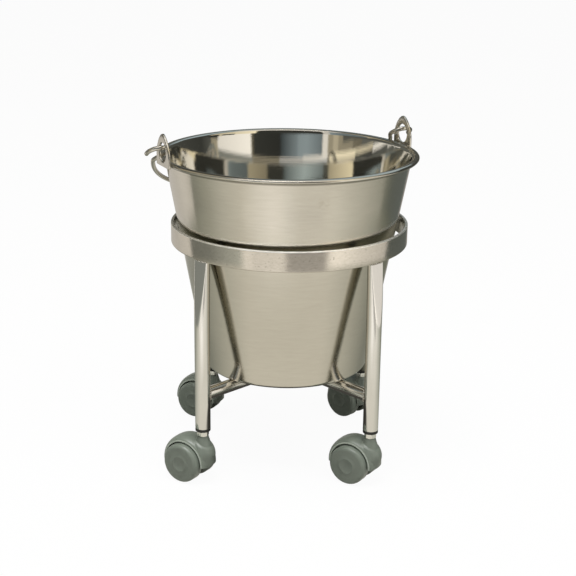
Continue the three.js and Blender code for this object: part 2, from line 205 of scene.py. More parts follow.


# Share of a piece's front: 0 on the side that faces the frame's middle, 1 on the other; it masks the painted shade on
# that inner side
def frontShare(start, at, ends):
    level = start.node("ShaderNodeMapping", {}, {"Vector": at, "Location": (-frameAxis.x, -frameAxis.y, 0.0),
                                                 "Scale": (1.0, 1.0, 0.0)})
    reach = start.node("ShaderNodeVectorMath", {"operation": "LENGTH"}, {0: level}, "Value")
    return start.node("ShaderNodeMapRange", {}, {"Value": reach, "From Min": ends[0], "From Max": ends[1]})


def flatBarLook(start):
    at = start.node("ShaderNodeTexCoord", output="Object")
    stretched = start.node("ShaderNodeMapping", {}, {"Vector": at, "Scale": (1.0, 1.0, 3.0)})
    grain = start.node("ShaderNodeTexNoise", {}, {"Vector": stretched, "Scale": barSet["grain"], "Detail": 3.0})
    mottle = start.node("ShaderNodeTexNoise", {}, {"Vector": stretched, "Scale": 190.0, "Detail": 6.0,
                                                   "Roughness": 0.7})
    rough = barSet["rough"] + (mottle - 0.5) * 0.16 + (grain - 0.5) * 0.06
    bump = start.node("ShaderNodeBump", {}, {"Strength": 0.06, "Distance": 0.001, "Height": mottle * 0.6 + grain * 0.4})
    colour = start.mix(mottle, (*barSet["dark"], 1), (*barSet["light"], 1))
    pits = start.node("ShaderNodeTexNoise", {}, {"Vector": at, "Scale": 520.0, "Detail": 5.0, "Roughness": 0.6})
    specks = start.node("ShaderNodeMapRange", {}, {"Value": pits, "From Min": 0.62, "From Max": 0.72})
    colour = start.mix(specks * 0.7, colour, (*barSet["pit"], 1))
    # Painted highlight: the hoop's top band is mixed towards the pale edge colour
    height = start.node("ShaderNodeSeparateXYZ", sockets={0: at}, output=2)
    paintedHighlight = start.node("ShaderNodeMapRange", {}, {"Value": height, "From Min": barSet["highlightAt"][0],
                                                 "From Max": barSet["highlightAt"][1]})
    colour = start.mix(paintedHighlight, colour, (*barSet["edge"], 1))
    rough = rough + paintedHighlight * barSet["highlightRough"]
    # Painted shade on the hoop's inner face, the side towards the frame's middle
    colour = start.mix(frontShare(start, at, barSet["backAt"]), (*barSet["back"], 1), colour)
    return {"Base Color": colour, "Roughness": rough, "Normal": bump}


flatBarSteel = newMaterial("flatBarSteel", {"Metallic": 1.0}, flatBarLook)

legLookSet = {"light": (0.94, 0.925, 0.895), "dark": (0.83, 0.815, 0.78), "rough": 0.09,
              "back": (0.27, 0.265, 0.22), "backAt": (0.1425, 0.1485)}
barLookSet = {"light": (0.95, 0.93, 0.90), "dark": (0.74, 0.72, 0.67), "rough": 0.08}


def tubeLook(look):
    def build(start):
        at = start.node("ShaderNodeTexCoord", output="Object")
        streaks = start.node("ShaderNodeMapping", {}, {"Vector": at, "Scale": (1.0, 1.0, 0.12)})
        drawn = start.node("ShaderNodeTexNoise", {}, {"Vector": streaks, "Scale": 700.0, "Detail": 4.0})
        cloud = start.node("ShaderNodeTexNoise", {}, {"Vector": at, "Scale": 45.0, "Detail": 4.0})
        rough = look["rough"] + (drawn - 0.5) * 0.1 + (cloud - 0.5) * 0.08
        bump = start.node("ShaderNodeBump", {}, {"Strength": 0.03, "Distance": 0.001, "Height": drawn})
        colour = start.mix(cloud * 0.6 + drawn * 0.4, (*look["dark"], 1), (*look["light"], 1))
        # Painted shade on a leg's side that faces the frame's middle
        if "back" in look:
            colour = start.mix(frontShare(start, at, look["backAt"]), (*look["back"], 1), colour)
        return {"Base Color": colour, "Roughness": rough, "Normal": bump}
    return build


legSteel = newMaterial("legSteel", {"Metallic": 1.0}, tubeLook(legLookSet))
crossSteel = newMaterial("crossSteel", {"Metallic": 1.0}, tubeLook(barLookSet))

wireSet = {"light": (0.76, 0.73, 0.67), "dark": (0.58, 0.55, 0.49), "rough": 0.17}


def wireLook(start):
    at = start.node("ShaderNodeTexCoord", output="Object")
    scuffs = start.node("ShaderNodeTexNoise", {}, {"Vector": at, "Scale": 260.0, "Detail": 5.0})
    patches = start.node("ShaderNodeTexNoise", {}, {"Vector": at, "Scale": 38.0, "Detail": 3.0})
    rough = wireSet["rough"] + (scuffs - 0.5) * 0.16 + (patches - 0.5) * 0.1
    bump = start.node("ShaderNodeBump", {}, {"Strength": 0.05, "Distance": 0.001, "Height": scuffs})
    colour = start.mix(patches * 0.5 + scuffs * 0.5, (*wireSet["dark"], 1), (*wireSet["light"], 1))
    return {"Base Color": colour, "Roughness": rough, "Normal": bump}


wireSteel = newMaterial("wireSteel", {"Metallic": 1.0}, wireLook)

weldSet = {"light": (0.72, 0.70, 0.65), "dark": (0.40, 0.37, 0.33), "rough": 0.3}


def weldLook(start):
    at = start.node("ShaderNodeTexCoord", output="Object")
    scale = start.node("ShaderNodeTexNoise", {}, {"Vector": at, "Scale": 420.0, "Detail": 4.0})
    rough = weldSet["rough"] + (scale - 0.5) * 0.3
    bump = start.node("ShaderNodeBump", {}, {"Strength": 0.2, "Distance": 0.001, "Height": scale})
    return {"Base Color": start.mix(scale, (*weldSet["dark"], 1), (*weldSet["light"], 1)),
            "Roughness": rough, "Normal": bump}


weldSteel = newMaterial("weldSteel", {"Metallic": 1.0}, weldLook)

platedSet = {"light": (0.95, 0.95, 0.92), "dark": (0.82, 0.82, 0.78), "rough": 0.22}


def platedLook(start):
    at = start.node("ShaderNodeTexCoord", output="Object")
    dull = start.node("ShaderNodeTexNoise", {}, {"Vector": at, "Scale": 300.0, "Detail": 4.0})
    rough = platedSet["rough"] + (dull - 0.5) * 0.2
    return {"Base Color": start.mix(dull, (*platedSet["dark"], 1), (*platedSet["light"], 1)), "Roughness": rough}


platedSteel = newMaterial("platedSteel", {"Metallic": 1.0}, platedLook)

# The edge colour is a painted highlight on the caster hoods' rims
plasticSet = {"light": (0.150, 0.172, 0.141), "dark": (0.113, 0.131, 0.106), "rough": 0.35,
              "edge": (0.32, 0.355, 0.30)}


def plasticLook(start):
    at = start.node("ShaderNodeTexCoord", output="Object")
    mould = start.node("ShaderNodeTexNoise", {}, {"Vector": at, "Scale": 1400.0, "Detail": 2.0})
    cloud = start.node("ShaderNodeTexNoise", {}, {"Vector": at, "Scale": 70.0, "Detail": 4.0})
    rough = plasticSet["rough"] + (cloud - 0.5) * 0.16 + (mould - 0.5) * 0.08
    bump = start.node("ShaderNodeBump", {}, {"Strength": 0.05, "Distance": 0.0006, "Height": mould})
    colour = start.mix(cloud, (*plasticSet["dark"], 1), (*plasticSet["light"], 1))
    # Painted highlight: the hood's marked rim is mixed towards the pale edge colour
    paintedHighlight = start.node("ShaderNodeAttribute", {"attribute_name": "wornEdge"}, output="Fac")
    return {"Base Color": start.mix(paintedHighlight, colour, (*plasticSet["edge"], 1)), "Roughness": rough, "Normal": bump}


greyPlastic = newMaterial("greyPlastic", {"Specular IOR Level": 0.5}, plasticLook)

blackSet = {"light": (0.014, 0.014, 0.012), "dark": (0.007, 0.007, 0.006), "rough": 0.4}


def blackLook(start):
    at = start.node("ShaderNodeTexCoord", output="Object")
    mould = start.node("ShaderNodeTexNoise", {}, {"Vector": at, "Scale": 600.0, "Detail": 3.0})
    return {"Base Color": start.mix(mould, (*blackSet["dark"], 1), (*blackSet["light"], 1)),
            "Roughness": blackSet["rough"] + (mould - 0.5) * 0.2}


blackPlastic = newMaterial("blackPlastic", {}, blackLook)
print("finishes made")


# Studio: floor, panels that the metal mirrors, lamps and world
floorSet = {"half": 14.0, "colour": (0.52, 0.52, 0.51), "seen": 0.955}


def makeFloor():
    h = floorSet["half"]
    mesh = bpy.data.meshes.new("studioFloor")
    mesh.from_pydata([(-h, -h, -0.0002), (h, -h, -0.0002), (h, h, -0.0002), (-h, h, -0.0002)], [], [(0, 1, 2, 3)])
    floor = bpy.data.objects.new("studioFloor", mesh)
    scene.collection.objects.link(floor)
    material, tree = stageMaterial("studioFloor")
    mesh.materials.append(material)
    start = Link(tree)
    rays = start.node("ShaderNodeLightPath").socket.node.outputs
    seen = start.sum("MAXIMUM", Link(tree, rays["Is Camera Ray"]), Link(tree, rays["Is Transmission Ray"]))
    share = start.sum("MAXIMUM", seen, Link(tree, rays["Is Glossy Ray"])) * floorSet["seen"]
    matt = start.node("ShaderNodeBsdfDiffuse", {}, {"Color": (*floorSet["colour"], 1)})
    white = start.node("ShaderNodeEmission", {}, {"Color": (1, 1, 1, 1), "Strength": 1.0})
    both = start.node("ShaderNodeMixShader", {}, {0: share, 1: matt, 2: white})
    tree.links.new(both.socket, tree.nodes["stageOutput"].inputs["Surface"])


def stageMaterial(name):
    material = bpy.data.materials.new(name)
    material.use_nodes = True
    tree = material.node_tree
    tree.nodes.clear()
    tree.nodes.new("ShaderNodeOutputMaterial").name = "stageOutput"
    return material, tree


# What the metal mirrors: panels on a ring round the object, in degrees (0 towards the camera, + to the right),
# each with its level at both ends and its tint; the low ones also with how far in over the floor they reach,
# the patches with their heights
tints = {"cream": (1.0, 0.95, 0.87), "tan": (1.0, 0.89, 0.65), "grey": (1.0, 1.02, 0.90), "blue": (0.82, 0.98, 1.04),
         "slate": (1.0, 1.10, 1.0)}
ringSet = {"radius": 900.0, "patch": 885.0, "low": 300.0, "high": 740.0, "top": 2300.0, "near": 430.0, "cap": 0.62}
lowPanels = [
    (-180, -124, 0.50, 0.61, "cream", 840),
    (-124, -100.5, 0.64, 0.77, "cream", 810),
    (-100.5, -74, 0.20, 0.24, "grey", 830),
    (-74, -40.5, 0.25, 0.54, "grey", 830),
    (-40.5, -31, 0.98, 0.96, "cream", 720),
    (-31, -2, 0.86, 0.94, "cream", 720),
    (-2, 33.5, 0.45, 0.46, "cream", 720),
    (33.5, 40, 1.0, 1.20, "cream", 880),
    (40, 65, 1.22, 0.92, "cream", 880),
    (65, 99, 0.90, 0.65, "cream", 880),
    (99, 150, 0.125, 0.125, "slate", 870),
    (150, 180, 0.30, 0.60, "cream", 700),
]
highPanels = [
    (-180, -83, 0.12, 0.13, "grey"), (-83, -72, 0.16, 0.20, "tan"), (-72, -55, 0.30, 0.33, "tan"),
    (-55, -49, 0.48, 0.52, "tan"), (-49, -43, 0.36, 0.36, "tan"), (-43, -37, 0.84, 0.84, "cream"),
    (-37, -20, 0.20, 0.35, "blue"), (-20, -10, 0.35, 0.33, "blue"), (-10, 9, 0.27, 0.05, "blue"),
    (9, 38, 0.03, 0.04, "grey"), (38, 41, 0.10, 0.18, "tan"), (41, 80, 1.10, 0.86, "cream"),
    (80, 88, 0.42, 0.30, "tan"), (88, 100, 0.10, 0.05, "grey"), (100, 180, 0.045, 0.09, "grey"),
]
topPanels = [
    (-180, -170, 0.25, 0.12, "blue"), (-170, -135, 0.05, 0.05, "grey"), (-135, -92, 0.29, 0.48, "tan"),
    (-92, -57, 0.17, 0.22, "blue"), (-57, -46, 0.22, 0.32, "blue"), (-46, -38, 0.58, 0.68, "cream"),
    (-38, 36, 0.045, 0.035, "grey"), (36, 92, 1.06, 0.50, "tan"), (92, 103, 0.11, 0.11, "grey"),
    (103, 145, 0.26, 0.60, "blue"), (145, 180, 0.58, 0.25, "blue"),
]
patches = [
    (-125, -60, 0.09, 0.10, "grey", 632, 770), (60, 75, 0.05, 0.05, "grey", 690, 800),
    (75, 79, 0.60, 0.60, "tan", 645, 740), (79, 92, 0.04, 0.04, "grey", 610, 800),
    (92, 145, 0.05, 0.05, "grey", 720, 960),
    (-142, -130, 0.72, 0.72, "cream", 462, 505), (-130, -119, 0.70, 0.72, "cream", 487, 528),
    (-119, -98, 0.88, 0.86, "cream", 515, 553), (-98, -76, 0.62, 0.74, "tan", 530, 566),
    (-76, -45, 1.0, 1.0, "tan", 526, 566), (-45, -16, 0.86, 0.76, "cream", 524, 562),
    (-16, 10, 0.62, 0.50, "cream", 524, 552), (10, 40, 0.32, 0.34, "tan", 524, 548),
    (-119, -98, 0.11, 0.09, "grey", 430, 515), (-98, -76, 0.06, 0.07, "grey", 430, 530),
    (-76, -45, 0.58, 0.60, "tan", 430, 526), (-45, -16, 0.28, 0.28, "blue", 430, 524),
    (-16, 10, 0.22, 0.16, "blue", 430, 524), (10, 40, 0.09, 0.12, "tan", 430, 524),
    (40, 80, 0.26, 0.22, "grey", 430, 548), (-70, 70, 0.85, 0.85, "cream", 1350, 2290),
]
floorLight = {"bright": 0.68, "dim": 0.24, "tint": (1.0, 0.955, 0.83), "dimTint": (1.0, 1.02, 0.86),
              "poolTint": (1.0, 0.98, 1.02), "under": 0.06, "underEnds": 105.0, "openFrom": 150.0}
floorFade = [(0, 0), (42, 0), (117, 1), (148, 1), (170, 0.35), (180, 0.35)]
floorPool = [(-180, 0.12), (-122, 0.12), (-106, -0.05), (-78, -0.07), (-62, 0), (-40, 0), (-27, 0.24), (-14, 0.42),
             (2, 0.32), (14, 0.14), (48, 0.12), (66, 0.03), (88, -0.02), (102, -0.07), (125, -0.09), (180, -0.07)]


def scaled(tint, level):
    return tuple(level * v for v in tint)


def blend(first, last, t):
    return tuple(p + (q - p) * t for p, q in zip(first, last))


# Level at a place along straight lines between stops
def between(stops, place):
    for (a, low), (b, high) in zip(stops, stops[1:]):
        if a <= place <= b:
            return low + (high - low) * (place - a) / (b - a)


# The lit floor: dimmer behind, with a brighter pool in front, further out
def floorTone(degrees, pool):
    f = floorLight
    fade = between(floorFade, abs(degrees))
    tone = scaled(blend(f["tint"], f["dimTint"], fade), f["bright"] + (f["dim"] - f["bright"]) * fade)
    spot = scaled(f["poolTint"], pool * between(floorPool, degrees))
    return tuple(a + b for a, b in zip(tone, spot))


# A panel's column from the floor up: radius, height and tone
def upright(radius, low, high):
    return lambda degrees, tone: [(radius, low, tone), (radius, high, tone)]


def overFloor(reach):
    ring, f = ringSet, floorLight
    shade = scaled(f["tint"], f["under"])
    return lambda degrees, tone: [
        (0, 0, shade), (f["underEnds"], 0, shade), (f["openFrom"], 0, floorTone(degrees, 0)),
        (ring["near"], 0, floorTone(degrees, 0)), (reach - 30, 0, floorTone(degrees, 1)), (reach, 0, tone),
        (ring["radius"], 0, tone), (ring["radius"], ring["low"], tone)]


def overhead(degrees, tone):
    return [(ringSet["radius"], ringSet["top"], tone), (0, ringSet["top"], tone)]


# Panels that only the metal sees, so that it has something to mirror
def makePanels():
    points, faces, tones = [], [], []
    ring = ringSet
    panels = [(*panel[:5], overFloor(panel[5])) for panel in lowPanels]
    panels += [(*panel, upright(ring["radius"], ring["low"], ring["high"])) for panel in highPanels]
    panels += [(*panel, upright(ring["radius"], ring["high"], ring["top"])) for panel in topPanels]
    panels += [(*panel[:5], upright(ring["patch"], *panel[5:])) for panel in patches]
    panels.append((-180, 180, ring["cap"], ring["cap"], "cream", overhead))
    for begin, end, first, last, tint, columnAt in panels:
        steps = max(2, round((end - begin) / 4))
        for i in range(steps + 1):
            degrees = begin + (end - begin) * i / steps
            a = math.radians(degrees)
            tone = scaled(tints[tint], first + (last - first) * i / steps)
            column = columnAt(degrees, tone)
            points += [(r * math.sin(a) * mm, -r * math.cos(a) * mm, z * mm) for r, z, level in column]
            tones += [level for r, z, level in column]
            if i:
                n, tall = len(points) - 2 * len(column), len(column)
                faces += [(n + k, n + k + tall, n + k + tall + 1, n + k + 1) for k in range(tall - 1)]
    mesh = bpy.data.meshes.new("studioPanels")
    mesh.from_pydata(points, [], faces)
    shade = mesh.color_attributes.new("tone", "FLOAT_COLOR", "POINT")
    for entry, tone in zip(shade.data, tones):
        entry.color = (*tone, 1.0)
    panels = bpy.data.objects.new("studioPanels", mesh)
    scene.collection.objects.link(panels)
    panels.visible_camera = False
    panels.visible_diffuse = False
    panels.visible_shadow = False
    panels.visible_transmission = False
    material, tree = stageMaterial("studioPanels")
    mesh.materials.append(material)
    start = Link(tree)
    tone = start.node("ShaderNodeAttribute", {"attribute_name": "tone"}, output="Color")
    glow = start.node("ShaderNodeEmission", {}, {"Color": tone, "Strength": 1.0})
    tree.links.new(glow.socket, tree.nodes["stageOutput"].inputs["Surface"])


lampSet = [
    {"name": "keyLamp", "place": (-0.25, -0.6, 2.7), "size": 1.2, "power": 92.0, "aim": (0, 0, 0.15)},
    {"name": "fillLamp", "place": (1.2, -0.8, 2.0), "size": 1.0, "power": 18.0, "aim": (0, 0, 0.15)},
]


def makeLamps():
    for lamp in lampSet:
        data = bpy.data.lights.new(lamp["name"], "AREA")
        data.size = lamp["size"]
        data.energy = lamp["power"]
        light = bpy.data.objects.new(lamp["name"], data)
        light.location = lamp["place"]
        toward = Vector(lamp["aim"]) - Vector(lamp["place"])
        light.rotation_euler = toward.to_track_quat("-Z", "Y").to_euler()
        scene.collection.objects.link(light)


worldSet = {"low": (0.12, 0.12, 0.115), "high": (0.62, 0.62, 0.61)}


def makeWorld():
    world = bpy.data.worlds.new("studioWorld")
    scene.world = world
    world.use_nodes = True
    tree = world.node_tree
    tree.nodes.clear()
    start = Link(tree)
    toward = start.node("ShaderNodeTexCoord", output="Generated")
    away = start.node("ShaderNodeSeparateXYZ", sockets={0: toward}, output=1)
    height = start.node("ShaderNodeSeparateXYZ", sockets={0: toward}, output=2)
    soft = start.node("ShaderNodeValToRGB", {"stops": [(0.1, worldSet["low"]), (0.9, worldSet["high"])]},
                      {0: height * 0.85 - away * 0.15 + 0.12})
    rays = start.node("ShaderNodeLightPath").socket.node.outputs
    seen = start.sum("MAXIMUM", Link(tree, rays["Is Camera Ray"]), Link(tree, rays["Is Transmission Ray"]))
    seen = start.sum("MAXIMUM", seen, Link(tree, rays["Is Glossy Ray"]))
    sky = start.node("ShaderNodeBackground", {}, {"Color": start.mix(seen, soft, (1, 1, 1, 1)), "Strength": 1.0})
    tree.links.new(sky.socket, tree.nodes.new("ShaderNodeOutputWorld").inputs["Surface"])


makeFloor()
makePanels()
makeLamps()
makeWorld()
scene.view_settings.view_transform = "Standard"
print("studio made")


# Ways of making pieces
def geometryTree(name, inputs):
    tree = bpy.data.node_groups.new(name, "GeometryNodeTree")
    tree.interface.new_socket(name="shape", in_out="INPUT", socket_type="NodeSocketGeometry")
    for label, kind in inputs.items():
        tree.interface.new_socket(name=label, in_out="INPUT", socket_type="NodeSocket" + kind)
    tree.interface.new_socket(name="shape", in_out="OUTPUT", socket_type="NodeSocketGeometry")
    entry = tree.nodes.new("NodeGroupInput")
    return tree, {socket.name: Link(tree, socket) for socket in entry.outputs if socket.name}


def closeTree(tree, shape):
    tree.links.new(shape.socket, tree.nodes.new("NodeGroupOutput").inputs[0])


# Runs a tree on a mesh and keeps the result as a plain mesh
def runTree(name, source, tree, values):
    holder = bpy.data.objects.new(name, source)
    modifier = holder.modifiers.new(name, "NODES")
    modifier.node_group = tree
    keys = {item.name: item.identifier for item in tree.interface.items_tree if item.in_out == "INPUT"}
    for label, value in values.items():
        modifier[keys[label]] = value
    scene.collection.objects.link(holder)
    bpy.context.view_layer.update()
    graph = bpy.context.evaluated_depsgraph_get()
    mesh = bpy.data.meshes.new_from_object(holder.evaluated_get(graph), depsgraph=graph)
    holder.modifiers.clear()
    holder.data = mesh
    mesh.name = name
    return holder


# Turns a profile round Z: each grid row takes its radius and height from one profile point
def makeSpinTree():
    tree, given = geometryTree("spinProfile", {"points": "Int", "steps": "Int", "inside from": "Float",
                                               "outside": "Material", "inside": "Material"})
    start = Link(tree)
    grid = start.node("GeometryNodeMeshGrid", {}, {"Size X": 1.0, "Size Y": 1.0, "Vertices X": given["points"],
                                                   "Vertices Y": given["steps"] + 1.0})
    place = start.node("GeometryNodeInputPosition")
    across = start.node("ShaderNodeSeparateXYZ", {}, {0: place}, 0)
    around = start.node("ShaderNodeSeparateXYZ", {}, {0: place}, 1)
    row = start.sum("ROUND", (across + 0.5) * (given["points"] - 1.0))
    marked = start.node("GeometryNodeStoreNamedAttribute", {"data_type": "FLOAT", "domain": "POINT"},
                        {"Geometry": grid, "Name": "along", "Value": row})
    point = start.node("GeometryNodeSampleIndex", {"data_type": "FLOAT_VECTOR", "domain": "POINT"},
                       {"Geometry": given["shape"], "Value": place, "Index": row})
    radius = start.node("ShaderNodeSeparateXYZ", {}, {0: point}, 0)
    height = start.node("ShaderNodeSeparateXYZ", {}, {0: point}, 2)
    angle = (around + 0.5) * (2 * math.pi)
    turned = start.node("ShaderNodeCombineXYZ", {}, {0: radius * start.sum("COSINE", angle),
                                                     1: radius * start.sum("SINE", angle), 2: height})
    shaped = start.node("GeometryNodeSetPosition", {}, {"Geometry": marked, "Position": turned})
    joined = start.node("GeometryNodeMergeByDistance", {}, {"Geometry": shaped, "Distance": 1e-6})
    whole = start.node("GeometryNodeRealizeInstances", {}, {0: joined})
    dressed = start.node("GeometryNodeSetMaterial", {}, {"Geometry": whole, "Material": given["outside"]})
    along = start.node("GeometryNodeInputNamedAttribute", {"data_type": "FLOAT"}, {"Name": "along"})
    within = start.node("FunctionNodeCompare", {"data_type": "FLOAT", "operation": "GREATER_THAN"},
                        {0: along, 1: given["inside from"]})
    lined = start.node("GeometryNodeSetMaterial", {}, {"Geometry": dressed, "Selection": within,
                                                       "Material": given["inside"]})
    closeTree(tree, lined)
    return tree


# Round wire along a path of points
def makeWireTree():
    tree, given = geometryTree("wireAlongPath", {"radius": "Float", "sides": "Int", "finish": "Material"})
    start = Link(tree)
    path = start.node("GeometryNodeMeshToCurve", {}, {0: given["shape"]})
    ring = start.node("GeometryNodeCurvePrimitiveCircle", {}, {"Resolution": given["sides"], "Radius": given["radius"]})
    tube = start.node("GeometryNodeCurveToMesh", {}, {"Curve": path, "Profile Curve": ring, "Fill Caps": True})
    whole = start.node("GeometryNodeRealizeInstances", {}, {0: tube})
    dressed = start.node("GeometryNodeSetMaterial", {}, {"Geometry": whole, "Material": given["finish"]})
    closeTree(tree, dressed)
    return tree


# Overlapping flattened drops along a path, as a weld leaves them
def makeWeldTree():
    tree, given = geometryTree("weldDrops", {"spacing": "Float", "size": "Float", "seed": "Int", "finish": "Material"})
    start = Link(tree)
    path = start.node("GeometryNodeMeshToCurve", {}, {0: given["shape"]})
    spread = start.node("GeometryNodeResampleCurve", {"mode": "LENGTH"}, {"Curve": path, "Length": given["spacing"]})
    drop = start.node("GeometryNodeMeshIcoSphere", {}, {"Radius": given["size"], "Subdivisions": 2})
    uneven = start.node("FunctionNodeRandomValue", {"data_type": "FLOAT_VECTOR"},
                        {"Min": (0.7, 0.7, 0.55), "Max": (1.25, 1.25, 0.95), "Seed": given["seed"]})
    placed = start.node("GeometryNodeInstanceOnPoints", {}, {"Points": spread, "Instance": drop, "Scale": uneven})
    whole = start.node("GeometryNodeRealizeInstances", {}, {0: placed})
    smooth = start.node("GeometryNodeSetShadeSmooth", {}, {"Geometry": whole})
    closeTree(tree, start.node("GeometryNodeSetMaterial", {}, {"Geometry": smooth, "Material": given["finish"]}))
    return tree


spinTree = makeSpinTree()
wireTree = makeWireTree()
weldTree = makeWeldTree()
print("trees made")


def outward(mesh, sharp=35.0):
    made = bmesh.new()
    made.from_mesh(mesh)
    if made.calc_volume(signed=True) < 0:
        bmesh.ops.reverse_faces(made, faces=made.faces)
    made.to_mesh(mesh)
    made.free()
    mesh.shade_smooth()
    mesh.set_sharp_from_angle(angle=math.radians(sharp))


def polyline(name, points, closed=False):
    mesh = bpy.data.meshes.new(name)
    edges = [(i, i + 1) for i in range(len(points) - 1)] + ([(len(points) - 1, 0)] if closed else [])
    mesh.from_pydata(points, edges, [])
    return mesh


# Profile points are [radius, height] in millimetres, axis to axis or a closed loop
def spin(name, profile, steps, outside, inside=None, insideFrom=1e6, placing=None, sharp=35.0):
    points = list(profile)
    if points[0][0] > 1e-6 or points[-1][0] > 1e-6:
        points.append(points[0])
    source = polyline(name, [(r * mm, 0, z * mm) for r, z in points])
    piece = runTree(name, source, spinTree, {"points": len(points), "steps": steps, "inside from": float(insideFrom),
                                             "outside": outside, "inside": inside or outside})
    outward(piece.data, sharp)
    if placing:
        piece.data.transform(placing)
    return piece


def newPiece(name, mesh, *materials):
    piece = bpy.data.objects.new(name, mesh)
    for material in materials:
        mesh.materials.append(material)
    scene.collection.objects.link(piece)
    return piece


# Joins rings of points (millimetres) into a closed body; wrap joins the last ring to the first
def loftMesh(name, rings, wrap=False, sharp=35.0):
    made = bmesh.new()
    rows = [[made.verts.new(Vector(p) * mm) for p in ring] for ring in rings]
    for low, high in zip(rows, rows[1:] + rows[:1] if wrap else rows[1:]):
        for k in range(len(low)):
            n = (k + 1) % len(low)
            made.faces.new((low[k], low[n], high[n], high[k]))
    if not wrap:
        made.faces.new(list(reversed(rows[0])))
        made.faces.new(rows[-1])
    mesh = bpy.data.meshes.new(name)
    made.to_mesh(mesh)
    made.free()
    outward(mesh, sharp)
    return mesh


def settle(piece, body, slot, *nodes):
    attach(piece, body)
    if nodes:
        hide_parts(*nodes)
    return piece


def arc(cx, cy, radius, begin, end, steps):
    turn = [math.radians(begin + (end - begin) * i / steps) for i in range(steps + 1)]
    return [(cx + radius * math.cos(a), cy + radius * math.sin(a)) for a in turn]


pailPlace = Matrix.Translation((pailAxis.x, pailAxis.y, pailFoot)) @ Matrix.Rotation(math.radians(26), 4, "Z")


# Pail
pailSet = {"height": 276.0, "mouth": 154.2, "floor": 103.5, "sheet": 1.0, "corner": 7.0, "bead": 4.75,
           "beadRise": 2.7, "steps": 192}


def makePail():
    p = pailSet
    lean = math.atan((p["mouth"] - p["floor"]) / p["height"])
    slope = math.tan(lean)
    thick = p["sheet"] / math.cos(lean)
    cornerAt = p["floor"] - p["corner"] * math.tan((math.pi / 2 - lean) / 2)
    beadAt = p["mouth"] - thick + p["bead"]
    beadHeight = p["height"] - p["beadRise"]
    wallTop = beadHeight - p["beadRise"]
    cornerEnd = -math.degrees(lean)
    outside = [(0.0, 0.0)] + arc(cornerAt, p["corner"], p["corner"], -90, cornerEnd, 10)
    outside += [(p["floor"] + slope * z, z) for z in (60, 120, 180, 230, wallTop)]
    flat = lambda drop: [(beadAt + (p["bead"] - drop) * x, beadHeight + (p["beadRise"] - drop) * z)
                         for x, z in arc(0, 0, 1, 180 - math.degrees(lean), -155, 32)]
    curlIn, curlOut = flat(p["sheet"]), flat(0)
    inside = [(p["floor"] + slope * z - thick, z) for z in (wallTop, 230, 180, 120, 60)]
    inside += list(reversed(arc(cornerAt, p["corner"], p["corner"] - p["sheet"], -90, cornerEnd, 10)))
    profile = outside + curlIn + list(reversed(curlOut)) + inside + [(0.0, p["sheet"])]
    lining = len(outside) + len(curlIn) + len(curlOut) - 5
    piece = spin("pailBody", profile, p["steps"], spunSteel, innerSteel, lining, pailPlace, 50)
    settle(piece, "pail", "stainless", "pail_shell")


makePail()


# Ears and bail
earSet = {"half": 20.275, "thick": 3.0, "shoulder": 6.0, "top": 34.0, "topRound": 7.0, "hole": 11.775, "holeAt": 11.775,
          "edge": 0.8, "steps": 96}


def bezier(a, b, c, d, steps):
    out = []
    for i in range(steps + 1):
        t = i / steps
        s = 1 - t
        out.append(tuple(s ** 3 * p + 3 * s * s * t * q + 3 * s * t * t * r + t ** 3 * u for p, q, r, u in zip(a, b, c, d)))
    return out


# Points evenly along a closed outline
def evenly(outline, count):
    ring = [Vector(p) for p in outline]
    ring.append(ring[0])
    lengths = [0.0]
    for a, b in zip(ring, ring[1:]):
        lengths.append(lengths[-1] + (b - a).length)
    out, k = [], 0
    for i in range(count):
        want = lengths[-1] * i / count
        while lengths[k + 1] < want:
            k += 1
        t = (want - lengths[k]) / max(lengths[k + 1] - lengths[k], 1e-9)
        out.append(ring[k].lerp(ring[k + 1], t))
    return out


def inset(ring, amount):
    out = []
    for i, p in enumerate(ring):
        along = (ring[(i + 1) % len(ring)] - ring[i - 1]).normalized()
        out.append(p + Vector((-along.y, along.x)) * amount)
    return out


def makeEars():
    e, p = earSet, pailSet
    rim = p["height"]
    foot, w = rim - 2 * p["beadRise"], e["half"]
    rise = e["top"] - e["shoulder"]
    side, crown = rim + e["shoulder"], rim + e["top"]
    outline = [(0, foot), (w - 1.5, foot)] + arc(w - 1.5, foot + 1.5, 1.5, -90, 0, 4)[1:]
    outline += bezier((w, side), (w, side + rise / 2), (e["topRound"], crown), (0, crown), 24)
    outline += [(-x, y) for x, y in reversed(outline[1:-1])]
    outer = evenly(outline, e["steps"])
    turn = [math.atan2(q.y - rim - e["holeAt"], q.x) for q in outer]
    hole = [Vector((e["hole"] * math.cos(a), rim + e["holeAt"] + e["hole"] * math.sin(a))) for a in turn]
    half, edge = e["thick"] / 2, e["edge"]
    loops = []
    for i in range(5):
        a = math.pi / 2 * i / 4
        loops.append((inset(outer, edge - edge * math.sin(a)), half - edge + edge * math.cos(a)))
    loops += [(ring, -x) for ring, x in reversed(loops)]
    for i in range(5):
        a = math.pi / 2 * i / 4
        loops.append((inset(hole, -(edge - edge * math.sin(a))), -(half - edge + edge * math.cos(a))))
    loops += [(ring, -x) for ring, x in reversed(loops[-5:])]
    middle = p["mouth"] - p["sheet"] + 2 * p["bead"] + 0.3 + half
    for name, node, spun in (("earRight", "ear_right", 0), ("earLeft", "ear_left", 180)):
        rings = [[(middle + x, q.x, q.y) for q in ring] for ring, x in loops]
        mesh = loftMesh(name, rings, wrap=True, sharp=60)
        mesh.transform(pailPlace @ Matrix.Rotation(math.radians(spun), 4, "Z"))
        settle(newPiece(name, mesh, wireSteel), "pail", "stainless", node)


makeEars()

bailSet = {"wire": 2.75, "radius": 170.0, "hook": 13.5, "inset": 11.0, "tip": 3.5, "flare": 42.0, "pivot": 17.5,
           "drop": 32.1, "sides": 20}


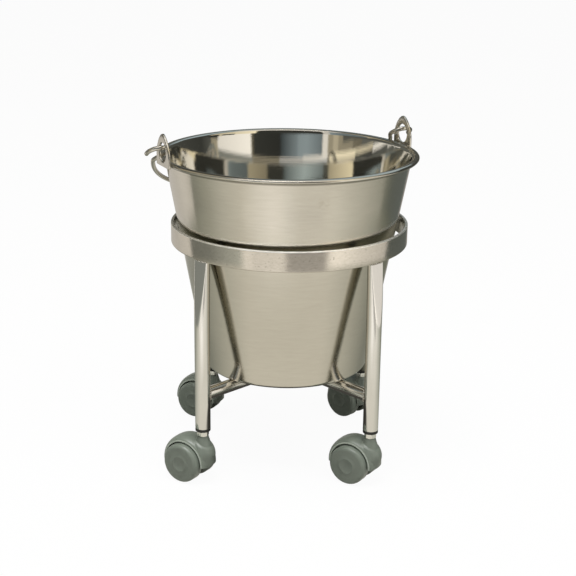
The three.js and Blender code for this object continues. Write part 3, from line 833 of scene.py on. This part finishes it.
def makeBail():
    b, p = bailSet, pailSet
    earMiddle = p["mouth"] - p["sheet"] + 2 * p["bead"] + 0.3 + earSet["thick"] / 2
    arm = earMiddle - b["inset"]
    bend = arm + b["hook"]
    half = [(bend + b["hook"], b["hook"] + b["tip"])]
    half += arc(bend, b["hook"], b["hook"], 0, -180, 28)
    join = math.asin(b["flare"] / b["radius"])
    joinAt = (b["radius"] * math.cos(join), b["flare"])
    pull = (b["flare"] - b["hook"]) / 4
    half += bezier((arm, b["hook"]), (arm, b["hook"] + pull),
                   (joinAt[0] + pull * math.sin(join), joinAt[1] - pull * math.cos(join)), joinAt, 14)[1:-1]
    half += arc(0, 0, b["radius"], math.degrees(join), 90, 60)
    path = half + [(-x, s) for x, s in reversed(half[:-1])]
    drop = math.radians(b["drop"])
    pivot = p["height"] + b["pivot"]
    points = [(x * mm, s * math.cos(drop) * mm, (pivot - s * math.sin(drop)) * mm) for x, s in path]
    piece = runTree("bailWire", polyline("bailWire", points), wireTree,
                    {"radius": b["wire"] * mm, "sides": b["sides"], "finish": wireSteel})
    outward(piece.data, 50)
    piece.data.transform(pailPlace)
    settle(piece, "bail", "bail_wire", "bail_handle")


makeBail()
print("pail, ears and bail made")


# Frame: hoop, legs and bars
hoopSet = {"outer": 149.0, "thick": 4.0, "low": 286.7, "high": 312.1, "edge": 1.3, "steps": 192}


def makeHoop():
    h = hoopSet
    inner, e = h["outer"] - h["thick"], h["edge"]
    profile = arc(h["outer"] - e, h["low"] + e, e, -90, 0, 5) + arc(h["outer"] - e, h["high"] - e, e, 0, 90, 5)
    profile += arc(inner + e, h["high"] - e, e, 90, 180, 5) + arc(inner + e, h["low"] + e, e, 180, 270, 5)
    place = Matrix.Translation((frameAxis.x, frameAxis.y, 0))
    piece = spin("hoopBand", profile, h["steps"], flatBarSteel, placing=place, sharp=50)
    settle(piece, "frame", "stainless", "support_hoop")


makeHoop()

legSet = {"circle": 147.0, "radius": 9.5, "wall": 1.5, "low": 71.6, "high": 286.4, "press": 7.5, "pressLength": 78.0,
          "spread": 0.14, "crease": 0.7, "steps": 64}
legPlaces = {"rear_right": 45, "rear_left": 135, "front_left": 225, "front_right": 315}
pieceWords = {"rear_right": "RearRight", "rear_left": "RearLeft", "front_left": "FrontLeft", "front_right": "FrontRight"}


def aroundFrame(direction):
    return Matrix.Translation((frameAxis.x, frameAxis.y, 0)) @ Matrix.Rotation(math.radians(direction), 4, "Z")


def legRing(radius, insetBy, z):
    g = legSet
    t = (z - g["high"] + g["pressLength"]) / g["pressLength"]
    flat = min(g["radius"] + 3, g["radius"] - g["press"] * t) - insetBy
    wide = 1 + g["spread"] * max(t, 0)
    ring = []
    for k in range(g["steps"]):
        a = 2 * math.pi * k / g["steps"]
        x = radius * math.cos(a)
        x = (x + flat - math.sqrt((x - flat) ** 2 + g["crease"] ** 2)) / 2
        ring.append((g["circle"] + x, radius * math.sin(a) * wide, z))
    return ring


def makeLegs():
    g = legSet
    heights = [g["low"] + 0.5, 120, 165, 180] + [180 + (g["high"] - 180) * i / 14 for i in range(1, 15)]
    bore = g["radius"] - g["wall"]
    rings = [legRing(g["radius"] - 0.4, 0, g["low"])]
    rings += [legRing(g["radius"], 0, z) for z in heights]
    rings += [legRing(bore, g["wall"], z) for z in reversed([g["low"]] + heights)]
    for corner, direction in legPlaces.items():
        mesh = loftMesh("leg" + pieceWords[corner], rings, wrap=True, sharp=50)
        mesh.transform(aroundFrame(direction))
        settle(newPiece("leg" + pieceWords[corner], mesh, legSteel), "frame", "stainless", "leg_" + corner)


makeLegs()

crossSet = {"radius": 8.0, "wall": 1.2, "height": 114.9, "gap": 0.3, "steps": 48}


def barRing(radius, reach):
    ring = []
    for k in range(crossSet["steps"]):
        a = 2 * math.pi * k / crossSet["steps"]
        y, z = radius * math.cos(a), radius * math.sin(a)
        ring.append((reach(y, z), y, crossSet["height"] + z))
    return ring


def makeBars():
    s, g = crossSet, legSet
    room, across = g["radius"] + s["gap"], s["radius"] + s["gap"]
    toLeg = lambda y, z: g["circle"] - math.sqrt(room ** 2 - y ** 2)
    fromLeg = lambda y, z: -toLeg(y, z)
    fromBar = lambda y, z: math.sqrt(across ** 2 - z ** 2)
    bore = s["radius"] - s["wall"]
    for name, node, direction, begin in (("barLong", "crossbar_long", 45, fromLeg),
                                         ("barHalfRear", "crossbar_half_rear", 135, fromBar),
                                         ("barHalfFront", "crossbar_half_front", 315, fromBar)):
        rings = [barRing(s["radius"], begin), barRing(s["radius"], toLeg), barRing(bore, toLeg), barRing(bore, begin)]
        mesh = loftMesh(name, rings, wrap=True, sharp=50)
        mesh.transform(aroundFrame(direction))
        settle(newPiece(name, mesh, crossSteel), "frame", "stainless", node)


makeBars()

weldSizes = {"spacing": 1.5, "bar": 1.15, "top": 1.0, "ear": 1.1}


def runWeld(name, paths, size, seed, body):
    points, edges = [], []
    for path in paths:
        edges += [(len(points) + i, len(points) + i + 1) for i in range(len(path) - 1)]
        points += [tuple(v) for v in path]
    source = bpy.data.meshes.new(name)
    source.from_pydata(points, edges, [])
    piece = runTree(name, source, weldTree, {"spacing": weldSizes["spacing"] * mm, "size": size * mm, "seed": seed,
                                             "finish": weldSteel})
    settle(piece, body, "stainless")


def makeWelds():
    g, s, p = legSet, crossSet, pailSet
    tops, bars = [], []
    for direction in legPlaces.values():
        place = aroundFrame(direction)
        across = [-9.5 + 19 * i / 12 for i in range(13)]
        tops.append([place @ (Vector((math.sqrt(hoopSet["outer"] ** 2 - y * y) - 0.3, y, g["high"] + 0.1)) * mm) for y in across])
        rim = s["radius"] + 0.4
        turn = [2 * math.pi * i / 32 for i in range(33)]
        bars.append([place @ (Vector((g["circle"] - math.sqrt((g["radius"] + 0.5) ** 2 - (rim * math.cos(a)) ** 2),
                                      rim * math.cos(a), s["height"] + rim * math.sin(a))) * mm) for a in turn])
    runWeld("weldTops", tops, weldSizes["top"], 3, "frame")
    runWeld("weldBars", bars, weldSizes["bar"], 5, "frame")
    reach = p["mouth"] - p["sheet"] + 2 * p["bead"] - 0.1
    ears = [[pailPlace @ (Vector((side * reach, y, p["height"] - 2 * p["beadRise"] + 0.8)) * mm)
             for y in [-14 + 28 * i / 8 for i in range(9)]] for side in (1, -1)]
    runWeld("weldEars", ears, weldSizes["ear"], 7, "pail")


makeWelds()
print("frame made")


# Casters
casterSet = {"wheel": 25.0, "width": 16.0, "shell": 3.5, "wheelEdge": 4.4, "hub": 6.5, "web": 14.4, "sideGap": 0.5,
             "axle": 3.0, "trail": 20.5, "hoodGap": 1.2, "hoodShell": 1.7, "crown": 5.0, "hoodHalf": 15.2,
             "front": -5.0, "rear": 186.0, "axleBoss": 9.0, "boss": 7.0, "bossFoot": 15.6, "bossTop": 61.0, "voxel": 0.45,
             "rimFade": 0.4, "rimFrom": 2.2, "bossLean": 0.4,
             "pin": 4.3, "headings": {"rear_right": -44, "rear_left": -26, "front_left": -32, "front_right": -32}}


def casterPlace(corner):
    a = math.radians(legPlaces[corner])
    at = Vector((frameAxis.x + legSet["circle"] * mm * math.cos(a), frameAxis.y + legSet["circle"] * mm * math.sin(a), 0))
    return Matrix.Translation(at) @ Matrix.Rotation(math.radians(casterSet["headings"][corner]), 4, "Z")


# Turns a body made about Z so that it lies along the axle
def alongAxle(side):
    c = casterSet
    flip = Matrix.Rotation(math.pi, 4, "X") if side < 0 else Matrix.Identity(4)
    return (Matrix.Translation((-c["trail"] * mm, 0, c["wheel"] * mm)) @ Matrix.Rotation(-math.pi / 2, 4, "X") @ flip)


def makeWheels():
    c = casterSet
    inner = c["web"] / 2 + c["sideGap"]
    outer = inner + c["width"]
    r, e = c["wheel"], c["wheelEdge"]
    faceIn, rimIn = outer - c["shell"], r - c["shell"]
    bore = c["axle"] + 0.3
    profile = [(0, outer - 0.35), (8.6, outer - 0.3), (9.2, outer), (10.0, outer), (10.6, outer - 0.3), (15, outer - 0.4)]
    profile += [(r - e + e * math.sin(a), outer - e - 1 + (e + 0.5) * math.cos(a)) for a in
                [math.pi / 2 * i / 12 for i in range(13)]]
    profile += [(r, inner + 1.2), (r - 0.4, inner + 0.3), (r - 1.2, inner), (rimIn, inner), (rimIn, faceIn),
                (c["hub"], faceIn), (c["hub"], inner), (bore, inner), (bore, faceIn + 0.6), (0, faceIn + 0.6)]
    for corner in legPlaces:
        for side, word, part in ((-1, "near", "Near"), (1, "far", "Far")):
            piece = spin("wheel" + part + pieceWords[corner], profile, 72, greyPlastic,
                         placing=casterPlace(corner) @ alongAxle(side))
            settle(piece, f"wheel_{word}_{corner}_body", "grey_plastic", f"wheel_{word}_{corner}")


makeWheels()


# Body turned about Z between heights, in millimetres, for cutting and joining
def tool(name, profile, steps, placing=None):
    piece = spin(name, profile, steps, greyPlastic)
    piece.data.transform(Matrix.Scale(1 / mm, 4))
    if placing:
        piece.data.transform(placing)
    return piece


def combine(base, other, operation):
    modifier = base.modifiers.new(operation, "BOOLEAN")
    modifier.operation = operation
    modifier.solver = "EXACT"
    modifier.object = other
    bpy.context.view_layer.update()
    graph = bpy.context.evaluated_depsgraph_get()
    mesh = bpy.data.meshes.new_from_object(base.evaluated_get(graph), depsgraph=graph)
    base.modifiers.clear()
    base.data = mesh
    bpy.data.objects.remove(other)


# Rounds every edge a little, as a moulding has them
def soften(piece, voxel):
    remesh = piece.modifiers.new("remesh", "REMESH")
    remesh.mode = "VOXEL"
    remesh.voxel_size = voxel
    smooth = piece.modifiers.new("smooth", "SMOOTH")
    smooth.factor, smooth.iterations = 0.5, 4
    thin = piece.modifiers.new("thin", "DECIMATE")
    thin.ratio = 0.4
    bpy.context.view_layer.update()
    graph = bpy.context.evaluated_depsgraph_get()
    mesh = bpy.data.meshes.new_from_object(piece.evaluated_get(graph), depsgraph=graph)
    piece.modifiers.clear()
    piece.data = mesh


# The hood's section across the axle: domed outside, round edges, and the two wheel wells
def hoodSection():
    c = casterSet
    well = c["wheel"] + c["hoodGap"]
    edge, half, web = well + c["hoodShell"], c["hoodHalf"], c["web"] / 2
    dome = []
    for i in range(33):
        across = -math.cos(math.pi * i / 32)
        dome.append((edge + c["crown"] * math.sqrt(max(0, 1 - abs(across) ** 2.5)), across * half))
    right = [(edge - 0.5, half + 0.35), (well + 0.4, half + 0.35), (well, half), (well, web), (0, web)]
    left = [(0, -web), (well, -web), (well, -half), (well + 0.4, -half - 0.35), (edge - 0.5, -half - 0.35)]
    return left + dome + right


# Marks the hood's outer rim, where a highlight is painted lighter into the colour
def markRim(mesh):
    c = casterSet
    mark = mesh.attributes.new("wornEdge", "FLOAT", "POINT")
    for vertex, entry in zip(mesh.vertices, mark.data):
        x, y, z = vertex.co
        reach = math.hypot(x + c["trail"], z - c["wheel"])
        aside = (abs(y) - c["hoodHalf"] + c["rimFade"]) / c["rimFade"]
        entry.value = min(max(aside, 0), 1) if reach > c["wheel"] + c["rimFrom"] else 0


def makeHood():
    c = casterSet
    section = hoodSection()
    turn = [math.radians(c["front"] + (c["rear"] - c["front"]) * i / 72) for i in range(73)]
    made = bmesh.new()
    rows = [[made.verts.new((r * math.cos(a) - c["trail"], y, r * math.sin(a) + c["wheel"])) for r, y in section]
            for a in turn]
    for low, high in zip(rows, rows[1:]):
        for k in range(len(section)):
            n = (k + 1) % len(section)
            made.faces.new((low[k], low[n], high[n], high[k]))
    caps = [made.faces.new(list(reversed(rows[0]))), made.faces.new(rows[-1])]
    bmesh.ops.triangulate(made, faces=caps)
    bmesh.ops.remove_doubles(made, verts=made.verts, dist=1e-5)
    bmesh.ops.dissolve_degenerate(made, edges=made.edges, dist=1e-6)
    mesh = bpy.data.meshes.new("hoodShape")
    made.to_mesh(mesh)
    made.free()
    outward(mesh)
    hood = newPiece("hoodShape", mesh, greyPlastic)
    foot, top = c["bossFoot"], c["bossTop"]
    neck = c["boss"]
    boss = tool("bossTool", [(0, 22.2), (foot - 3.6, 22.2), (foot - 2.6, 23.2), (foot - 1.7, 26), (foot - 0.7, 30.5), (foot, 36),
                             (foot - 0.3, 39.5), (foot - 0.9, 43.5), (foot - 1.9, 47.5), (foot - 3.2, 50.4),
                             (foot - 4.5, 51.7), (foot - 6, 52.5), (0, 53)], 64)
    for vertex in boss.data.vertices:
        vertex.co.z -= c["bossLean"] * vertex.co.x * max(vertex.co.z - 40, 0) / 12.5
    combine(boss, tool("neckTool", [(0, 40), (neck + 5.2, 40), (neck + 3.9, 47), (neck + 2.5, 52), (neck + 1.1, 56.5),
                                    (neck + 0.3, 59.3), (neck, 60.3), (neck - 0.3, top - 0.3), (neck - 0.8, top),
                                    (0, top)], 64), "UNION")
    lie = Matrix.Translation((-c["trail"], 0, c["wheel"])) @ Matrix.Rotation(-math.pi / 2, 4, "X")
    well, web = c["wheel"] + c["hoodGap"], c["web"] / 2
    for low, high in ((web, 40), (-40, -web)):
        combine(boss, tool("wellTool", [(0, low), (well, low), (well, high), (0, high)], 96, lie), "DIFFERENCE")
    combine(hood, boss, "UNION")
    combine(hood, tool("axleTool", [(0, -web), (c["axleBoss"], -web), (c["axleBoss"], web), (0, web)], 48, lie), "UNION")
    combine(hood, tool("pinTool", [(0, 33), (c["pin"], 33), (c["pin"], top + 2), (0, top + 2)], 32), "DIFFERENCE")
    bore = c["axle"] + 0.3
    combine(hood, tool("boreTool", [(0, -web - 1), (bore, -web - 1), (bore, web + 1), (0, web + 1)], 32, lie), "DIFFERENCE")
    soften(hood, c["voxel"])
    markRim(hood.data)
    hood.data.transform(Matrix.Scale(mm, 4))
    outward(hood.data, 60)
    hood.data.materials.clear()
    hood.data.materials.append(greyPlastic)
    shape = hood.data
    bpy.data.objects.remove(hood)
    for corner in legPlaces:
        own = shape.copy()
        own.transform(casterPlace(corner))
        piece = bpy.data.objects.new("hood" + pieceWords[corner], own)
        scene.collection.objects.link(piece)
        settle(piece, "caster_" + corner, "grey_plastic", "caster_hood_" + corner)


makeHood()

stemSet = {"hexLow": 61.3, "hexHigh": 67.5, "flats": 13.0, "pin": 4.0, "shank": 5.0, "low": 33.3, "high": 87.5}


def hexRing(z, limit):
    ring = []
    for k in range(48):
        a = 2 * math.pi * k / 48
        fold = (a + math.pi / 6) % (math.pi / 3) - math.pi / 6
        r = min(stemSet["flats"] / 2 / math.cos(fold), limit)
        ring.append((r * math.cos(a), r * math.sin(a), z))
    return ring


def roundRing(radius, z):
    return [(radius * math.cos(2 * math.pi * k / 48), radius * math.sin(2 * math.pi * k / 48), z) for k in range(48)]


def makeStems():
    s = stemSet
    low, high, flats = s["hexLow"], s["hexHigh"], s["flats"] / 2
    rings = [roundRing(s["pin"] - 0.6, s["low"]), roundRing(s["pin"], s["low"] + 0.6), roundRing(s["pin"], low),
             hexRing(low, flats), hexRing(low + 0.6, flats * 1.2), hexRing(high - 0.6, flats * 1.2), hexRing(high, flats),
             roundRing(s["shank"], high), roundRing(s["shank"], s["high"] - 0.6), roundRing(s["shank"] - 0.6, s["high"])]
    insert = {"low": 67.8, "flange": 71.3, "high": 95.6, "hole": 5.3, "spigot": 7.7, "outer": 9.5}
    profile = [(insert["hole"], insert["low"]), (insert["outer"] - 0.8, insert["low"]),
               (insert["outer"] - 0.2, insert["low"] + 0.3), (insert["outer"], insert["low"] + 0.9),
               (insert["outer"], insert["flange"] - 0.3), (insert["outer"] - 0.3, insert["flange"]),
               (insert["spigot"], insert["flange"]), (insert["spigot"], insert["high"] - 1),
               (insert["spigot"] - 0.7, insert["high"]), (insert["hole"], insert["high"])]
    for corner, direction in legPlaces.items():
        place = aroundFrame(direction) @ Matrix.Translation((legSet["circle"] * mm, 0, 0))
        mesh = loftMesh("stem" + pieceWords[corner], rings, sharp=25)
        mesh.transform(place)
        settle(newPiece("stem" + pieceWords[corner], mesh, platedSteel), "frame", "zinc_steel", "caster_stem_" + corner)
        piece = spin("insert" + pieceWords[corner], profile, 64, blackPlastic, placing=place)
        settle(piece, "frame", "black_plastic", "leg_insert_" + corner)


makeStems()

for corner in legPlaces:
    for node in ("stem_clip_", "caster_axle_"):
        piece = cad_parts[node + corner]
        piece.data.materials.clear()
        piece.data.materials.append(platedSteel)
print("casters made")
